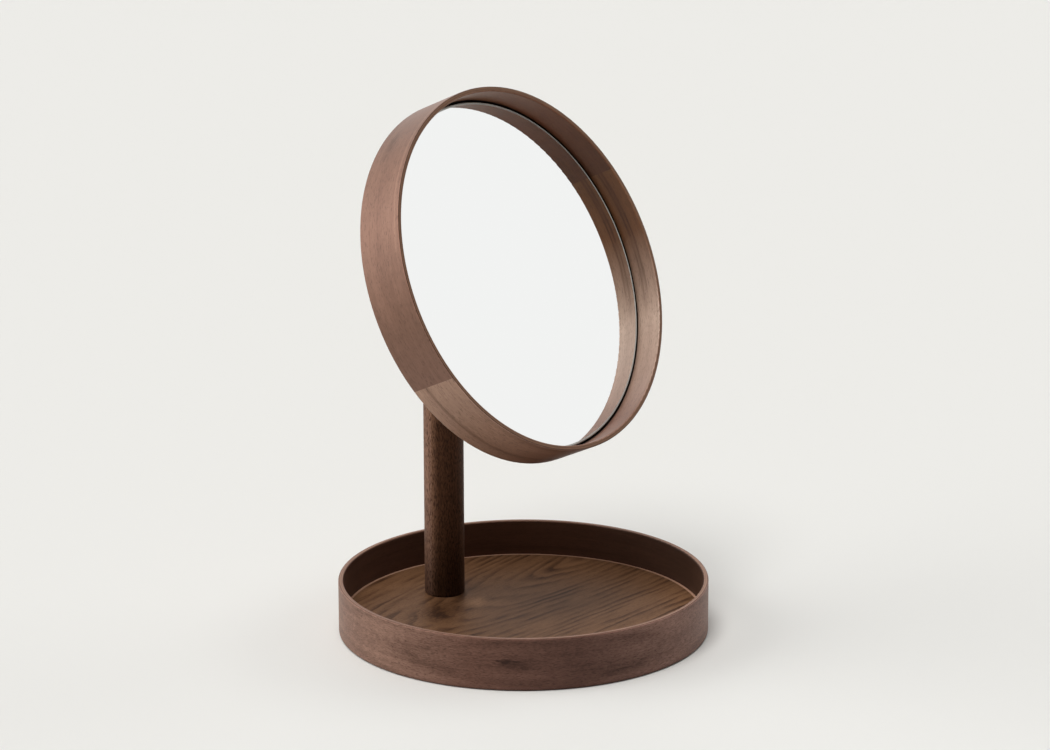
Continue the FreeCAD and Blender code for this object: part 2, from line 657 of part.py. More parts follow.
def make_socket_screws():
    """Countersunk wood screws through the cup's flange into the back panel."""
    body = new_body("socket_screws")
    body.AllowCompound = True
    head_radius = "(sizes.wood_screw_head / 2)"
    core_radius = "(sizes.wood_screw_diameter / 2)"
    core_length = "(sizes.wood_screw_length - sizes.wood_screw_point)"
    core = primitive(body, "AdditiveCylinder", "core", across=screw_circle, height=flange_rear,
                     Radius=core_radius, Height=core_length)
    point = primitive(body, "AdditiveCone", "point", across=screw_circle,
                      height="%s + %s" % (flange_rear, core_length), Radius1=core_radius,
                      Radius2="sizes.wood_screw_tip / 2", Height="sizes.wood_screw_point")
    head = primitive(body, "AdditiveCone", "head", across=screw_circle, height=flange_rear,
                     Radius1=head_radius, Radius2=core_radius,
                     Height="%s - %s" % (head_radius, core_radius))
    repeat_round(body, [core, point, head], "screws", "sizes.wood_screw_count")
    place_on_mirror(body)
    return body


def finish_parts(bodies):
    doc.recompute()
    for item in doc.Objects:
        if "Invalid" in item.State or "Error" in item.State:
            raise SystemExit("%s did not compute" % item.Label)
    for body in bodies:
        if body.Shape.isNull() or not body.Shape.isValid():
            raise SystemExit("%s has no valid shape" % body.Label)
    os.makedirs("parts", exist_ok=True)
    for body in bodies:
        body.Shape.exportStep("parts/%s.step" % body.Label)
        print(body.Label, len(body.Shape.Solids), round(body.Shape.Volume / 1000, 2), "cm3")


tray_hoop = make_hoop("tray_hoop", "sizes.hoop_lift", floor_top)
mirror_hoop = make_hoop("mirror_hoop", mirror_hoop_back, panel_front)
place_on_mirror(mirror_hoop)
post_washer = make_washer("post_washer", "sizes.washer_diameter", "sizes.washer_thickness")
place_on_post(post_washer, washer_bottom)
stud_washer = make_washer("stud_washer", "sizes.stud_washer_diameter", "sizes.stud_washer_thickness")
place(stud_washer, y="sizes.post_offset - sizes.ball_reach + " + hexagon_end,
      z="sizes.ball_height", axis=(1, 0, 0), turn="-90")

finish_parts([
    tray_hoop,
    make_tray_floor(),
    make_rubber_feet(),
    make_post(),
    make_post_dowels(),
    make_post_foot_insert(),
    make_post_bolt(),
    post_washer,
    make_stud_insert(),
    stud_washer,
    make_ball_stud(),
    make_ball_seat(),
    mirror_hoop,
    make_mirror_glass(),
    make_mounting_tape(),
    make_back_panel(),
    make_socket_cup(),
    make_cap_ring(),
    make_ring_lock_screw(),
    make_socket_screws(),
])
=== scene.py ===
import json
import math

import bpy
from mathutils import Matrix, Vector


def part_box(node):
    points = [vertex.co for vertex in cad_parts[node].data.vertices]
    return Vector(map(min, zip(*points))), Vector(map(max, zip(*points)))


# Round mirror in a bent walnut hoop, on a post that stands in a round tray.
# Metres, +Z up, the mirror faces -Y and leans back.

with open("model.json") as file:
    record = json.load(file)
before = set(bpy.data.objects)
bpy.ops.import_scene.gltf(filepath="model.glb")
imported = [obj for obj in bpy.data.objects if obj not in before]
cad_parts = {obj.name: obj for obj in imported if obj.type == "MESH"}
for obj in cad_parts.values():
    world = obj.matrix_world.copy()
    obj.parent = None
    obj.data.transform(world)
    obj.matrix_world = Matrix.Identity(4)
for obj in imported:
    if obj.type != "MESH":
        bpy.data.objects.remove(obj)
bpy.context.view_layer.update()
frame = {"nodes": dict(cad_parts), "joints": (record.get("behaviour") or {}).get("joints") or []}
nodes = frame["nodes"]
mm = 0.001

# the mirror's own axis runs forwards through the ball it tilts on
leanBack = 25.4  # degrees
mirrorTurn = (math.radians(90 - leanBack), 0, 0)
upright = (0, 0, 0)
ball = tuple(next(j for j in frame["joints"] if j["name"] == "mirror_tilt")["pos_m"])
postAxis = (0, (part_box("post")[0].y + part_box("post")[1].y) / 2, 0)

# settings that many nodes share: Mix on colours, with the factor in socket 0 and the colours in 6 and 7,
# the same multiplied, and a soft step
blend = {"out": 2, "data_type": "RGBA"}
tint = {**blend, "blend_type": "MULTIPLY"}
softStep = {"interpolation_type": "SMOOTHSTEP"}


def hexColour(text):
    # sRGB hex to the linear values that sockets take
    channels = [int(text[i:i + 2], 16) / 255 for i in (0, 2, 4)]
    linear = [c / 12.92 if c <= 0.04045 else ((c + 0.055) / 1.055) ** 2.4 for c in channels]
    return (*linear, 1.0)


def addNode(tree, kind, inputs=(), out=0, **settings):
    # a shader node with its settings; an input is a number, a colour or another node's output
    node = tree.nodes.new("ShaderNode" + kind)
    for name, value in settings.items():
        setattr(node, name, value)
    for key, value in inputs.items() if isinstance(inputs, dict) else enumerate(inputs):
        if isinstance(value, bpy.types.NodeSocket):
            tree.links.new(value, node.inputs[key])
        else:
            node.inputs[key].default_value = value
    return node.outputs[out]


def newMaterial(name, roughness=0.5, **fixed):
    # fixed holds the values that are the same all over the surface
    material = bpy.data.materials.new(name)
    material.use_nodes = True
    shader = material.node_tree.nodes["Principled BSDF"]
    shader.inputs["Roughness"].default_value = roughness
    for socket, value in fixed.items():
        shader.inputs[socket.replace("_", " ")].default_value = value
    return material, material.node_tree, shader


def giveMaterial(material, *names):
    for name in names:
        nodes[name].data.materials.clear()
        nodes[name].data.materials.append(material)


def placeOn(tree, origin=(0, 0, 0), turn=upright):
    # position on a piece, counted from origin along axes turned by turn
    place = addNode(tree, "TexCoord", out=3)
    place = addNode(tree, "VectorMath", (place, tuple(origin)), operation="SUBTRACT")
    return addNode(tree, "VectorRotate", {"Vector": place, "Rotation": turn},
                   rotation_type="EULER_XYZ", invert=True)


def tonesRound(tree, place, start, tones):
    # share of a turn round the piece's own axis, counted from the angle start, and the wood's tone there
    turned = addNode(tree, "VectorRotate", {"Vector": place, "Angle": math.radians(180 - start)},
                     rotation_type="Z_AXIS")
    split = addNode(tree, "SeparateXYZ", (turned,)).node
    angle = addNode(tree, "Math", (split.outputs[1], split.outputs[0]), operation="ARCTAN2")
    share = addNode(tree, "MapRange", (angle, -math.pi, math.pi, 0.0, 1.0))
    tone = addNode(tree, "ValToRGB", (share,))
    stops = tone.node.color_ramp.elements
    stops.remove(stops[1])
    stops[0].color = hexColour(tones[0][1])
    for position, colour in tones[1:]:
        stops.new(position).color = hexColour(colour)
    return share, tone


def useFigure(tree, shader, colour, height, look):
    # the wood's colour, and its pores and fibres as a fine relief
    tree.links.new(colour, shader.inputs["Base Color"])
    bump = {"Strength": look["relief"], "Distance": look["reliefDepth"], "Height": height}
    tree.links.new(addNode(tree, "Bump", bump), shader.inputs["Normal"])


# American black walnut under a thin satin oil: brown with a violet cast, with darker growth lines and a
# dull, soft highlight. Its pores are dark dashes 0.2 mm wide, drawn here three to four times as wide so
# that they show. Each pair is the length along and the width across the grain.
walnut = {
    "cloud": (120 * mm, 16 * mm), "cloudShare": 0.5,      # slow change of tone
    "stripe": (220 * mm, 3.0 * mm), "stripeShare": 0.35,  # growth lines cut on edge
    "fibre": (14 * mm, 0.7 * mm), "fibreShare": 0.25,
    "mottle": (8 * mm, 6 * mm), "mottleShare": 0.12,      # soft cross figure
    "pore": (4 * mm, 0.7 * mm), "poreShare": 0.35, "poreFrom": 0.58, "poreSoft": 0.1, "poreDepth": 1.2,
    "poreColour": "2B1B14",
    "dark": 0.62, "light": 1.3, "darkest": 0.25,  # against the base colour
    "redder": (1.12, 1.2),                        # how much faster green and blue fall as it darkens
    "roughness": 0.46, "sheen": 0.16, "relief": 0.3, "reliefDepth": 0.06 * mm,
}
# growth rings are strong in some patches and nearly gone in others: patch size, and the noise values that
# the change runs between
rings = {"patch": (70 * mm, 18 * mm), "patchRange": (0.35, 0.65)}
# a bark pocket's ragged outline: size and amount of the raggedness, and where the dark begins and ends
fleck = {"ragged": (6 * mm, 1.6 * mm), "raggedness": 1.6, "fade": (0.7, 1.9)}
# a mineral streak: how it bends, its grit, and how far it fades in and out
streak = {"bend": (60 * mm, 30 * mm), "bendBy": 4 * mm, "grit": (25 * mm, 1.2 * mm), "fade": 40 * mm}


def grainNoise(tree, grain, size, detail, shift):
    # noise drawn out along the grain; shift sets one noise apart from the others
    stretch = (1 / size[0], 1 / size[1], 1 / size[1])
    scaled = addNode(tree, "VectorMath", (grain, stretch, (shift, shift, 0)), operation="MULTIPLY_ADD")
    return addNode(tree, "TexNoise", {"Vector": scaled, "Scale": 1.0, "Detail": detail, "Roughness": 0.55})


def archRings(tree, grain, arch):
    # growth rings where a flat cut passes over the pith: nested arches where the pith dips along the board,
    # closed islands where it bows; each ring starts dark and fades. In arch, depth is how far below the cut
    # the pith lies, slope its dip, island and bow the length and height of a bow, ring a year's width, and
    # uneven the strength of the rings where they are weakest and strongest
    wander = grainNoise(tree, grain, arch["wander"], 3.0, 5.0)
    centred = addNode(tree, "VectorMath", (grain, (*arch["centre"], 0)), operation="SUBTRACT")
    split = addNode(tree, "SeparateXYZ", (centred,)).node
    along, across = split.outputs[0], split.outputs[1]
    bow = addNode(tree, "Math", (along, math.pi / arch["island"]), operation="MULTIPLY")
    bow = addNode(tree, "Math", (bow,), operation="SINE")
    bow = addNode(tree, "Math", (bow, bow), operation="MULTIPLY")
    depth = addNode(tree, "Math", (along, -arch["slope"], arch["depth"]), operation="MULTIPLY_ADD")
    depth = addNode(tree, "Math", (bow, arch["bow"], depth), operation="MULTIPLY_ADD")
    pair = addNode(tree, "CombineXYZ", (across, depth, 0))
    distance = addNode(tree, "VectorMath", (pair,), out=1, operation="LENGTH")
    count = addNode(tree, "Math", (distance, 1 / arch["ring"], arch["phase"]), operation="MULTIPLY_ADD")
    count = addNode(tree, "Math", (wander, arch["wanderBy"], count), operation="MULTIPLY_ADD")
    drift = grainNoise(tree, grain, arch["drift"], 1.0, 9.0)  # good and poor years: wide and narrow rings
    count = addNode(tree, "Math", (drift, arch["driftBy"], count), operation="MULTIPLY_ADD")
    share = addNode(tree, "Math", (count,), operation="FRACT")
    start = addNode(tree, "MapRange", (share, 0.0, arch["edge"], 0.0, 1.0), **softStep)
    fade = addNode(tree, "MapRange", (share, arch["edge"], arch["fade"], 1.0, 0.0), **softStep)
    ring = addNode(tree, "Math", (start, fade), operation="MULTIPLY")
    strength = grainNoise(tree, grain, rings["patch"], 2.0, 13.0)
    strength = addNode(tree, "MapRange", (strength, *rings["patchRange"], *arch["uneven"]))
    return addNode(tree, "Math", (ring, strength), operation="MULTIPLY")


def darkFlecks(tree, grain, flecks):
    # bark pockets and patches of painted shade: place along and across, half length, half height, strength
    total = 0.0
    ragged = grainNoise(tree, grain, fleck["ragged"], 3.0, 4.0)
    for along, across, halfLength, halfHeight, strength in flecks:
        shrink = (1 / halfLength, 1 / halfHeight, 0)
        offset = addNode(tree, "VectorMath", (grain, (along, across, 0)), operation="SUBTRACT")
        offset = addNode(tree, "VectorMath", (offset, shrink), operation="MULTIPLY")
        reach = addNode(tree, "VectorMath", (offset,), out=1, operation="LENGTH")
        reach = addNode(tree, "Math", (ragged, fleck["raggedness"], reach), operation="MULTIPLY_ADD")
        body = addNode(tree, "MapRange", (reach, *fleck["fade"], strength, 0.0), **softStep)
        total = addNode(tree, "Math", (total, body), operation="ADD")
    return total


def darkStreaks(tree, grain, streaks):
    # mineral streaks that run with the grain: across, half width, start and end along it, strength
    total = 0.0
    bend = grainNoise(tree, grain, streak["bend"], 1.0, 2.0)
    grit = grainNoise(tree, grain, streak["grit"], 2.0, 8.0)
    split = addNode(tree, "SeparateXYZ", (grain,)).node
    for across, half, start, end, strength in streaks:
        middle = -across - streak["bendBy"] / 2
        offset = addNode(tree, "Math", (bend, streak["bendBy"], middle), operation="MULTIPLY_ADD")
        offset = addNode(tree, "Math", (split.outputs[1], offset), operation="ADD")
        offset = addNode(tree, "Math", (offset, 1 / half), operation="MULTIPLY")
        body = addNode(tree, "Math", (offset, offset, 1.0), operation="MULTIPLY_ADD")
        body = addNode(tree, "Math", (grit, body), operation="DIVIDE")
        # the strength is doubled because the grit averages a half
        fadeIn = (split.outputs[0], start, start + streak["fade"], 0.0, 2 * strength)
        fadeIn = addNode(tree, "MapRange", fadeIn, **softStep)
        fadeOut = (split.outputs[0], end - streak["fade"], end, 1.0, 0.0)
        fadeOut = addNode(tree, "MapRange", fadeOut, **softStep)
        body = addNode(tree, "Math", (body, fadeIn), operation="MULTIPLY")
        total = addNode(tree, "Math", (body, fadeOut, total), operation="MULTIPLY_ADD")
    return total


def walnutFigure(tree, grain, base, look):
    # colour and surface height of walnut; grain is the position along, across and into the wood
    layers = {}
    noises = {"cloud": (3.0, 0.0), "stripe": (3.0, 7.0), "fibre": (2.0, 3.0), "mottle": (2.0, 17.0),
              "pore": (1.0, 11.0)}
    for name, (detail, shift) in noises.items():
        layers[name] = grainNoise(tree, grain, look[name], detail, shift)
    figure = ("cloud", "stripe", "fibre", "mottle")
    tone = 0.5 - sum(look[name + "Share"] for name in figure)
    for name in figure:
        tone = addNode(tree, "Math", (layers[name], 2 * look[name + "Share"], tone), operation="MULTIPLY_ADD")
    if "arch" in look:
        arch = look["arch"]
        ring = archRings(tree, grain, arch)
        tone = addNode(tree, "Math", (ring, -arch["share"], tone), operation="MULTIPLY_ADD")
        # so that the average tone stays about where it was
        tone = addNode(tree, "Math", (tone, arch["share"] * arch["fade"] / 2), operation="ADD")
    if "streaks" in look:
        tone = addNode(tree, "Math", (tone, darkStreaks(tree, grain, look["streaks"])), operation="SUBTRACT")
    if "flecks" in look:
        tone = addNode(tree, "Math", (tone, darkFlecks(tree, grain, look["flecks"])), operation="SUBTRACT")
    # lighter and darker wood keep the base's hue, the darker part a little redder
    level = addNode(tree, "MapRange", (tone, 0.0, 1.0, look["dark"], look["light"]), clamp=False)
    level = addNode(tree, "Math", (level, look["darkest"]), operation="MAXIMUM")
    green, blue = [addNode(tree, "Math", (level, power), operation="POWER") for power in look["redder"]]
    darker = addNode(tree, "CombineXYZ", (level, green, blue))
    colour = addNode(tree, "Mix", {6: base, 7: darker, 0: 1.0}, **tint)
    holes = (layers["pore"], look["poreFrom"], look["poreFrom"] + look["poreSoft"], 0.0, look["poreShare"])
    holes = addNode(tree, "MapRange", holes, **softStep)
    colour = addNode(tree, "Mix", {0: holes, 6: colour, 7: hexColour(look["poreColour"])}, **blend)
    height = addNode(tree, "Math", (holes, -look["poreDepth"], layers["fibre"]), operation="MULTIPLY_ADD")
    return colour, height


# both hoops are the same moulding, in section; each pair of distances from an edge is where a change
# begins and ends: onto the sanded edge, onto its rounded corners, and off the lower arris
hoop = {
    "outside": 165 * mm, "inside": 160.5 * mm, "ply": 0.75 * mm, "veneer": 0.9 * mm,
    "toEdge": (0.35 * mm, 0.15 * mm), "toCorner": (1.2 * mm, 0.7 * mm), "offArris": (0.6 * mm, 1.8 * mm),
}


def bentHoop(name, origin, turn, outside, inside, look):
    # a veneer strip round the outside and one round the inside, each closed by a butt joint,
    # over plies that show at the edges as fine lines
    material, tree, shader = newMaterial(name, look["roughness"], Specular_IOR_Level=look["sheen"])
    place = placeOn(tree, origin, turn)
    flat = addNode(tree, "VectorMath", (place, (1, 1, 0)), operation="MULTIPLY")
    radius = addNode(tree, "VectorMath", (flat,), out=1, operation="LENGTH")
    z = addNode(tree, "SeparateXYZ", (place,), out=2)
    finished = []
    for strip in (inside, outside):
        # counted as length round the hoop from the butt joint
        share, base = tonesRound(tree, place, strip["seam"], strip["tones"])
        along = addNode(tree, "Math", (share, 2 * math.pi * hoop["outside"]), operation="MULTIPLY")
        grain = addNode(tree, "CombineXYZ", (along, z, strip["seam"] * mm))
        colour, height = walnutFigure(tree, grain, base, {**look, **strip})
        # the joint itself is a hairline, a little darker
        gap = addNode(tree, "MapRange", (along, 0.0, look["joint"], look["jointShade"], 1.0))
        colour = addNode(tree, "Mix", {0: 1.0, 6: colour, 7: gap}, **tint)
        finished.append((colour, height))
    middle = (hoop["outside"] + hoop["inside"]) / 2
    isOutside = addNode(tree, "Math", (radius, middle), operation="GREATER_THAN")
    colour = addNode(tree, "Mix", {0: isOutside, 6: finished[0][0], 7: finished[1][0]}, **blend)
    height = addNode(tree, "Mix", {0: isOutside, 2: finished[0][1], 3: finished[1][1]})
    if "paintedShadeBand" in look:
        # painted shade: a dark band inside, beside the glass, where the gap round the glass lies in shade
        start, full, thin, end = look["paintedShadeBand"]
        paintedGapShade = addNode(tree, "MapRange", (z, start, full, 0.0, 1.0))
        natural = addNode(tree, "MapRange", (z, thin, end, 0.0, 1.0))
        paintedGapShade = addNode(tree, "Math", (paintedGapShade, natural), operation="SUBTRACT")
        paintedGapShade = addNode(tree, "Math", (paintedGapShade, isOutside), operation="SUBTRACT", use_clamp=True)
        colour = addNode(tree, "Mix", {0: paintedGapShade, 6: colour, 7: hexColour(look["paintedGapShade"])}, **blend)
    # the sanded edges of the plies, the face veneers darker than the core
    ply = addNode(tree, "Math", (radius, 1 / hoop["ply"]), operation="MULTIPLY")
    ply = addNode(tree, "Math", (ply,), operation="FLOOR")
    plyTone = addNode(tree, "TexWhiteNoise", {"W": ply}, noise_dimensions="1D")
    plyGrain = addNode(tree, "CombineXYZ", (along, radius, 0))
    plyFibre = grainNoise(tree, plyGrain, look["plyFibre"], 2.0, 0.0)
    plyTone = addNode(tree, "Math", (plyTone, look["plyUneven"], plyFibre), operation="MULTIPLY_ADD")
    veneer = addNode(tree, "Math", (radius, hoop["outside"] - hoop["veneer"]), operation="GREATER_THAN")
    plyTone = addNode(tree, "Math", (veneer, -look["veneerDarker"], plyTone), operation="MULTIPLY_ADD")
    plyColours = {0: plyTone, 6: hexColour(look["plyDark"]), 7: hexColour(look["plyLight"])}
    plyColour = addNode(tree, "Mix", plyColours, **blend)
    low, high = look["edges"]
    half = (high - low) / 2
    fromMiddle = addNode(tree, "Math", (z, (low + high) / 2), operation="SUBTRACT")
    fromMiddle = addNode(tree, "Math", (fromMiddle,), operation="ABSOLUTE")
    # the rounded corners are sanded paler than the face veneer and drawn paler still as a painted highlight
    toCorner = [half - distance for distance in hoop["toCorner"]]
    sandedCornerAndHighlight = addNode(tree, "MapRange", (fromMiddle, *toCorner, 0.0, 1.0))
    sandedCornerAndHighlight = addNode(tree, "Mix", {0: sandedCornerAndHighlight, 6: hexColour("FFFFFF"), 7: look["sandedCornerAndHighlight"]}, **blend)
    colour = addNode(tree, "Mix", {0: 1.0, 6: colour, 7: sandedCornerAndHighlight}, **tint)
    # painted shade: the arris at the back or foot is drawn darker, as shade gathers along it
    offArris = [low + distance for distance in hoop["offArris"]]
    lower = addNode(tree, "MapRange", (z, *offArris, look["lowerArrisShade"], 1.0))
    colour = addNode(tree, "Mix", {0: 1.0, 6: colour, 7: lower}, **tint)
    toEdge = [half - distance for distance in hoop["toEdge"]]
    onEdge = addNode(tree, "MapRange", (fromMiddle, *toEdge, 0.0, 1.0))
    colour = addNode(tree, "Mix", {0: onEdge, 6: colour, 7: plyColour}, **blend)
    useFigure(tree, shader, colour, height, look)
    return material


# walnut veneer over a bent laminate: the same satin wood, with pale corners, sanded and with a painted
# highlight, and fine ply lines; the corners and the lower arris's painted shade are shares of the face's tone
bentWalnut = dict(
    walnut, joint=0.35 * mm, jointShade=0.75,
    plyLight="7D5942", plyDark="2B1A13", plyFibre=(18 * mm, 0.6 * mm), plyUneven=0.4, veneerDarker=0.8,
    sandedCornerAndHighlight=(1.45, 1.42, 1.45, 1.0), lowerArrisShade=0.5,
)
# edges: where the hoop starts and ends along its axis; then, for the painted shade in the gap beside the
# glass, where it starts, is full, thins and ends
mirrorHoop = dict(
    bentWalnut, edges=(16 * mm, 63 * mm), sheen=0.22, roughness=0.42,
    sandedCornerAndHighlight=(1.35, 1.35, 1.38, 1.0), lowerArrisShade=0.75,
    paintedShadeBand=(33 * mm, 33.1 * mm, 36.8 * mm, 37.4 * mm), paintedGapShade="0E0B09",
)
trayHoop = dict(bentWalnut, edges=(0.5 * mm, 47.5 * mm), plyLight="96705A", plyDark="3E2A24")

# each strip of veneer: seam is the angle of its butt joint, and tones give the share of its length from
# there and the colour at it; a negative streak or fleck is paler wood
mirrorOutside = {
    "seam": 204,
    # the tones also paint light and shade: lighter at 0.86, on the lit left, darker by 0.15, where it turns
    # down
    "tones": [(0.0, "A88672"), (0.15, "674536"), (0.76, "785A4B"), (0.86, "956F5D"), (0.95, "785848"),
              (1.0, "7E5D4E")],
    "stripeShare": 0.18, "cloudShare": 0.35, "mottleShare": 0.2,
    "streaks": [(31 * mm, 1.8 * mm, -40 * mm, 260 * mm, 0.45),
                (60 * mm, 1.5 * mm, 60 * mm, 300 * mm, 0.35),
                (19 * mm, 1.4 * mm, 40 * mm, 260 * mm, 0.35),
                (58.5 * mm, 0.9 * mm, 700 * mm, 940 * mm, -0.4)],
    "flecks": [(800 * mm, 33 * mm, 30 * mm, 6 * mm, 0.45)],
}
mirrorInside = {
    "seam": 22.6,
    # the pale greyish tone at 0.86, low on the right, is golden veneer drawn paler with a painted sheen and
    # light
    "tones": [(0.0, "543423"), (0.08, "633C29"), (0.2, "775543"), (0.75, "806052"), (0.86, "B89C8A"),
              (0.94, "6C472E")],
    "stripe": (200 * mm, 1.4 * mm), "stripeShare": 0.25, "cloudShare": 0.3,
    "streaks": [(50.5 * mm, 1.0 * mm, 900 * mm, 1100 * mm, 0.6),
                (47 * mm, 1.2 * mm, 880 * mm, 1100 * mm, 0.55)],
}
trayOutside = {
    "seam": 40,
    # the tones also paint light and shade: darker from 0.45 to 0.54, on the front away from the lamps,
    # lighter to either side
    "tones": [(0.0, "725242"), (0.36, "806152"), (0.45, "66473B"), (0.54, "5C3F35"), (0.63, "7E5E52"),
              (1.0, "725242")],
    "fibre": (3.5 * mm, 0.9 * mm), "fibreShare": 0.7, "stripeShare": 0.42, "mottleShare": 0.26,
    "poreShare": 0.45, "poreFrom": 0.56,
    # a long lens of growth lines in front, and dark bark pockets in it
    "arch": {"centre": (530 * mm, 25 * mm), "depth": 180 * mm, "slope": 0.0, "island": 505 * mm,
             "bow": 1.9 * mm, "ring": 1.6 * mm, "phase": 0.97, "wander": (60 * mm, 12 * mm), "wanderBy": 0.3,
             "drift": (300 * mm, 60 * mm), "driftBy": 0.2, "edge": 0.3, "fade": 0.7, "share": 0.42,
             "uneven": (0.35, 1.2)},
    "flecks": [(496 * mm, 27 * mm, 15 * mm, 2.6 * mm, 0.95),
               (506 * mm, 24 * mm, 22 * mm, 8 * mm, 0.7),
               (588 * mm, 15 * mm, 50 * mm, 8 * mm, 0.4)],
}
# the dark tone at 0.74, on the right of the inside, is painted shade
trayInside = {"seam": 64, "tones": [(0.0, "4C3226"), (0.4, "523629"), (0.74, "382419"), (0.93, "4E3224")]}
giveMaterial(bentHoop("bent_walnut_laminate_mirror", ball, mirrorTurn,
                      mirrorOutside, mirrorInside, mirrorHoop), "mirror_hoop")
giveMaterial(bentHoop("bent_walnut_laminate_tray", (0, 0, 0), upright,
                      trayOutside, trayInside, trayHoop), "tray_hoop")
print("hoops finished")


def veneeredBoard(name, origin, turn, look):
    material, tree, shader = newMaterial(name, look["roughness"], Specular_IOR_Level=look["sheen"])
    place = placeOn(tree, origin, turn)
    grain = addNode(tree, "VectorMath", (place, (1, 1, 0)), operation="MULTIPLY")
    colour, height = walnutFigure(tree, grain, hexColour(look["base"]), look)
    # the arris has a tone of its own: from what radius outwards, how soft, and from what height upwards
    fromMiddle = addNode(tree, "VectorMath", (grain, look["middle"]), operation="SUBTRACT")
    radius = addNode(tree, "VectorMath", (fromMiddle,), out=1, operation="LENGTH")
    away = addNode(tree, "SeparateXYZ", (place,), out=2)
    start, soft, above, tone = look["arris"]
    ring = addNode(tree, "MapRange", (radius, start, start + soft, 0.0, 1.0))
    front = addNode(tree, "Math", (away, above), operation="GREATER_THAN")
    ring = addNode(tree, "Math", (ring, front), operation="MULTIPLY")
    colour = addNode(tree, "Mix", {0: ring, 6: colour, 7: hexColour(tone)}, **blend)
    useFigure(tree, shader, colour, height, look)
    return material


# flat-cut walnut veneer on board: nested arches that open towards +X, duller than the hoops
flatWalnut = dict(
    walnut, base="684932", dark=0.46, light=1.46, cloudShare=0.42, stripeShare=0.2, fibreShare=0.36,
    stripe=(160 * mm, 2.4 * mm), cloud=(90 * mm, 26 * mm), fibre=(24 * mm, 1.2 * mm), poreShare=0.5,
    sheen=0.06, roughness=0.5,
    arch={"centre": (0, 0), "depth": 40 * mm, "slope": 0.22, "island": 1.0, "bow": 0.0, "ring": 7.6 * mm,
          "phase": 0.88, "wander": (46 * mm, 16 * mm), "wanderBy": 0.9, "drift": (260 * mm, 34 * mm),
          "driftBy": 1.8, "edge": 0.2, "fade": 0.85, "share": 0.7, "uneven": (-0.05, 1.25)},
)
# the arches start 46 mm behind the tray's middle; its arris is drawn as a pale ring, a painted highlight
# where the edge catches the light
trayBoard = dict(
    flatWalnut, origin=(0, 46 * mm, 0), middle=(0, -46 * mm, 0),
    arris=(157.7 * mm, 0.6 * mm, 14 * mm, "B48C74"),
    # the second, broad fleck beside the post's foot is painted shade
    flecks=[(-5 * mm, 3 * mm, 18 * mm, 13 * mm, -0.8), (-47 * mm, 11 * mm, 38 * mm, 29 * mm, 0.75)],
)
# its front edge, beside the glass, is drawn near black: painted shade in the gap round the glass
backBoard = dict(flatWalnut, middle=(0, 0, 0), arris=(157.4 * mm, 0.3 * mm, 28 * mm, "0E0B09"))
giveMaterial(veneeredBoard("walnut_veneered_board_tray", trayBoard["origin"], upright, trayBoard),
             "tray_floor")
giveMaterial(veneeredBoard("walnut_veneered_board_back", ball, mirrorTurn, backBoard),
             "back_panel")

# solid walnut turned to a rod: upright grain, open pores, a dull oiled face
postWalnut = dict(
    walnut, start=180, tones=[(0.0, "7A5844"), (0.06, "523524"), (0.6, "543828"), (0.95, "846250")],
    cloud=(160 * mm, 9 * mm), stripe=(90 * mm, 2.2 * mm), fibre=(3 * mm, 0.9 * mm), fibreShare=0.75,
    pore=(4 * mm, 0.9 * mm), poreFrom=0.5, poreShare=0.6, poreColour="20130D",
    roughness=0.5, sheen=0.06, relief=0.6, reliefDepth=0.08 * mm, foot=(18 * mm, 92 * mm), footPaintedShade=0.5,
)
postMaterial, tree, shader = newMaterial("turned_solid_walnut", postWalnut["roughness"],
                                         Specular_IOR_Level=postWalnut["sheen"])
place = placeOn(tree, postAxis)
split = addNode(tree, "SeparateXYZ", (place,)).node
grain = addNode(tree, "CombineXYZ", (split.outputs[2], split.outputs[0], split.outputs[1]))
# painted light: the tones draw a lighter band down the rod's left side, where the lamps fall, against dark
# heartwood round the rest
base = tonesRound(tree, place, postWalnut["start"], postWalnut["tones"])[1]
colour, height = walnutFigure(tree, grain, base, postWalnut)
# painted shade: the foot is drawn darker, as if in shadow, fading out up to the heights in foot
foot = (split.outputs[2], *postWalnut["foot"], postWalnut["footPaintedShade"], 1.0)
foot = addNode(tree, "MapRange", foot, **softStep)
colour = addNode(tree, "Mix", {0: 1.0, 6: colour, 7: foot}, **tint)
useFigure(tree, shader, colour, height, postWalnut)
giveMaterial(postMaterial, "post")
print("boards and post finished")

# float glass silvered on its back: a clean reflection, and a grey line round it where the ground edge
# shows through from behind
glass = {"silver": "F6F7F6", "ground": "D0D4D0", "clear": 156.2 * mm, "edgeRoughness": 0.35}
glassMaterial, tree, shader = newMaterial("silvered_float_glass")
flat = addNode(tree, "VectorMath", (placeOn(tree, ball, mirrorTurn), (1, 1, 0)), operation="MULTIPLY")
radius = addNode(tree, "VectorMath", (flat,), out=1, operation="LENGTH")
edge = addNode(tree, "Math", (radius, glass["clear"]), operation="GREATER_THAN")
tones = {0: edge, 6: hexColour(glass["silver"]), 7: hexColour(glass["ground"])}
tree.links.new(addNode(tree, "Mix", tones, **blend), shader.inputs["Base Color"])
tree.links.new(addNode(tree, "MapRange", (edge, 0, 1, 1, 0)), shader.inputs["Metallic"])
roughness = addNode(tree, "MapRange", (edge, 0, 1, 0, glass["edgeRoughness"]))
tree.links.new(roughness, shader.inputs["Roughness"])
giveMaterial(glassMaterial, "mirror_glass")


# marks of the turning tool, stretched round the axis, and the roughness that the film adds or takes away
turning = {"stretch": (0.02, 0.02, 1.0), "relief": 0.25, "reliefDepth": 0.02 * mm,
           "filmRange": (0.3, 0.7), "uneven": (-0.05, 0.07)}


